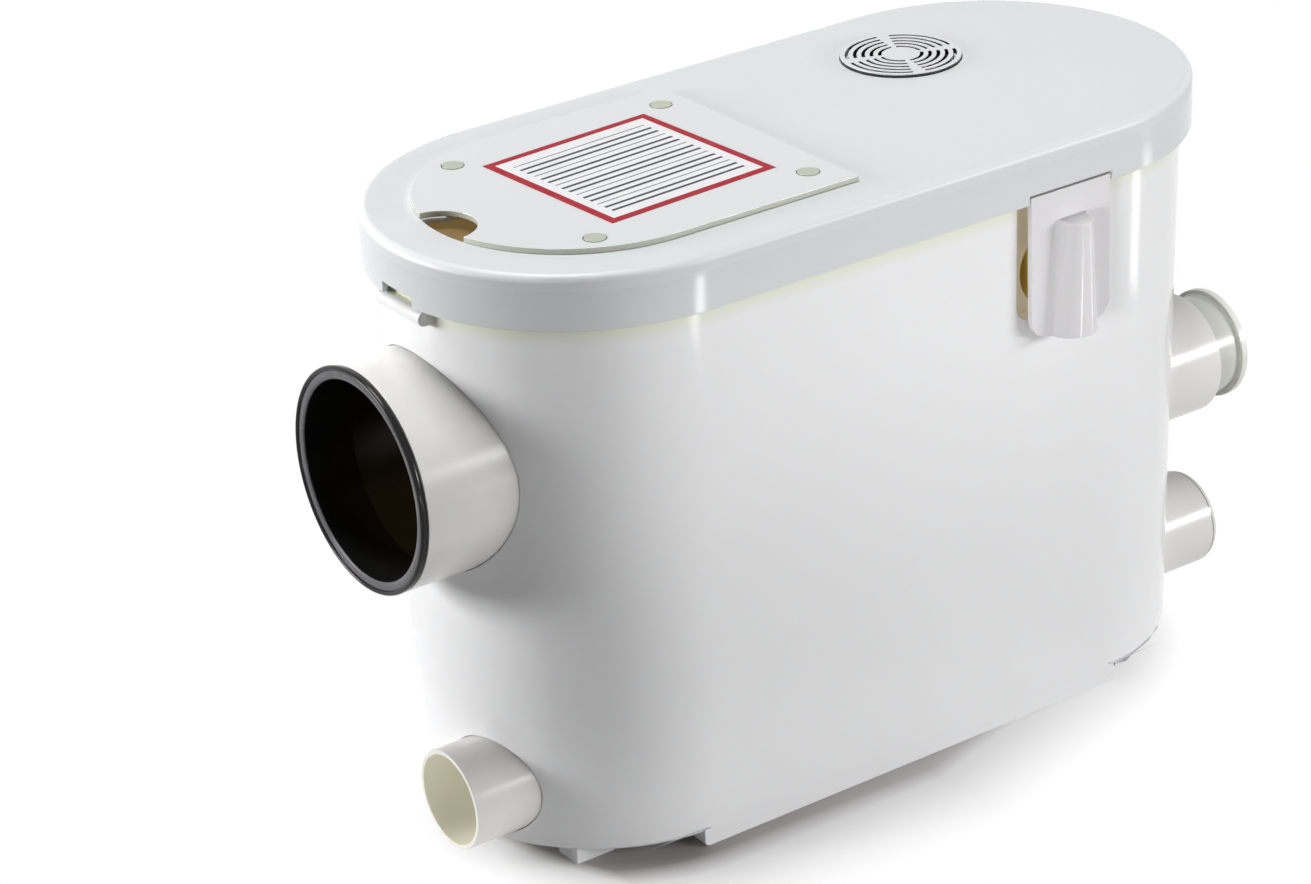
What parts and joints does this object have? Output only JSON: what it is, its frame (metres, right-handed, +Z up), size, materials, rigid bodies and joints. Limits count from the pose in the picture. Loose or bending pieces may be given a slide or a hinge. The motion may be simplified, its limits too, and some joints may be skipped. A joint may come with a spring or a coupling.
{
  "type": "macerator toilet pump",
  "caption": "White oblong macerator toilet pump: tank with soil inlet and seal, side inlets, outlet with check valve, vented lid, access cover, motor, impeller and cutter inside.",
  "frame": {"origin": "on the floor under the middle of the tank, where its long axis and cross axis meet", "axes": "+X along the tank away from the soil inlet, -Y to the front with the lead port, +Z up"},
  "size_m": [0.5, 0.2179, 0.3117],
  "materials": {
    "tank_plastic": "glossy white moulded plastic",
    "lid_plastic": "glossy white moulded plastic, slightly cool",
    "cover_plastic": "satin white moulded plastic",
    "screw_plastic": "grey-green moulded plastic",
    "spigot_plastic": "glossy white pipe plastic, slightly warm",
    "plug_plastic": "white moulded plastic",
    "black_rubber": "glossy black rubber",
    "grey_rubber": "dark grey rubber",
    "amber_plastic": "amber brown moulded plastic",
    "black_plastic": "black moulded plastic",
    "red_plastic": "red moulded plastic",
    "ivory_plastic": "ivory moulded plastic",
    "charcoal": "charcoal filter pad",
    "steel": "stainless steel",
    "laminations": "stacked steel laminations",
    "motor_casting": "cast aluminium",
    "motor_paint": "blue grey painted steel",
    "copper_wire": "enamelled copper wire",
    "capacitor_can": "drawn aluminium can"
  },
  "bodies": {
    "tank_unit": {"tank": "tank_plastic", "soil_spigot": "spigot_plastic", "soil_seal": "black_rubber", "inlet_spigot": "spigot_plastic", "inlet_flap_pin": "steel", "outlet_spigot": "spigot_plastic", "spare_socket": "spigot_plastic", "socket_ring": "black_rubber", "lid_gasket": "grey_rubber", "inner_deck": "amber_plastic", "deck_screws": "steel", "motor_flange": "motor_casting", "flange_screws": "steel", "motor_can": "motor_paint", "stator_core": "laminations", "stator_windings": "copper_wire", "motor_cap": "black_plastic", "lower_bearing": "steel", "upper_bearing": "steel", "shaft_seal": "black_rubber", "pump_volute": "black_plastic", "suction_plate": "black_plastic", "casing_screws": "steel", "macerator_basket": "black_plastic", "valve_housing": "black_plastic", "check_flap_pin": "steel", "dip_tube": "spigot_plastic", "pressure_switch": "black_plastic", "micro_switch": "red_plastic", "capacitor_cup": "black_plastic", "run_capacitor": "capacitor_can", "terminal_block": "ivory_plastic"},
    "rotor": {"motor_shaft": "steel", "rotor_core": "laminations", "rotor_nut": "steel", "impeller": "black_plastic", "cutter_blade": "steel"},
    "inlet_flap": {"inlet_flap": "grey_rubber"},
    "check_flap": {"check_flap": "grey_rubber"},
    "blanking_plug": {"blanking_plug": "plug_plastic"},
    "lid": {"lid": "lid_plastic", "vent_grille": "cover_plastic", "charcoal_filter": "charcoal"},
    "access_cover": {"access_cover": "cover_plastic", "cover_screws": "screw_plastic"},
    "port_cover": {"port_cover": "cover_plastic"},
    "switch_plunger": {"switch_plunger": "spigot_plastic"}
  },
  "joints": [
    {"name": "rotor_spin", "type": "hinge", "parent": "tank_unit", "child": "rotor", "pos_m": [0.06, 0, 0.1], "axis": [0, 0, 1], "continuous": true},
    {"name": "inlet_flap_swing", "type": "hinge", "parent": "tank_unit", "child": "inlet_flap", "pos_m": [-0.1862, -0.029, 0.0643], "axis": [0, -1, 0], "range_deg": [0, 60]},
    {"name": "check_flap_swing", "type": "hinge", "parent": "tank_unit", "child": "check_flap", "pos_m": [0.1431, -0.029, 0.0528], "axis": [0, -1, 0], "range_deg": [0, 60]},
    {"name": "plug_pull", "type": "slide", "parent": "tank_unit", "child": "blanking_plug", "axis": [1, 0, 0], "range_m": [0, 0.04]},
    {"name": "lid_lift", "type": "slide", "parent": "tank_unit", "child": "lid", "axis": [0, 0, 1], "range_m": [0, 0.12]},
    {"name": "access_cover_lift", "type": "slide", "parent": "lid", "child": "access_cover", "axis": [0, 0, 1], "range_m": [0, 0.06]},
    {"name": "port_cover_pull", "type": "slide", "parent": "tank_unit", "child": "port_cover", "axis": [0, -1, 0], "range_m": [0, 0.04]},
    {"name": "switch_plunger_travel", "type": "slide", "parent": "tank_unit", "child": "switch_plunger", "axis": [0, 0, 1], "range_m": [0, 0.002], "stiffness_N_per_m": 300}
  ]
}
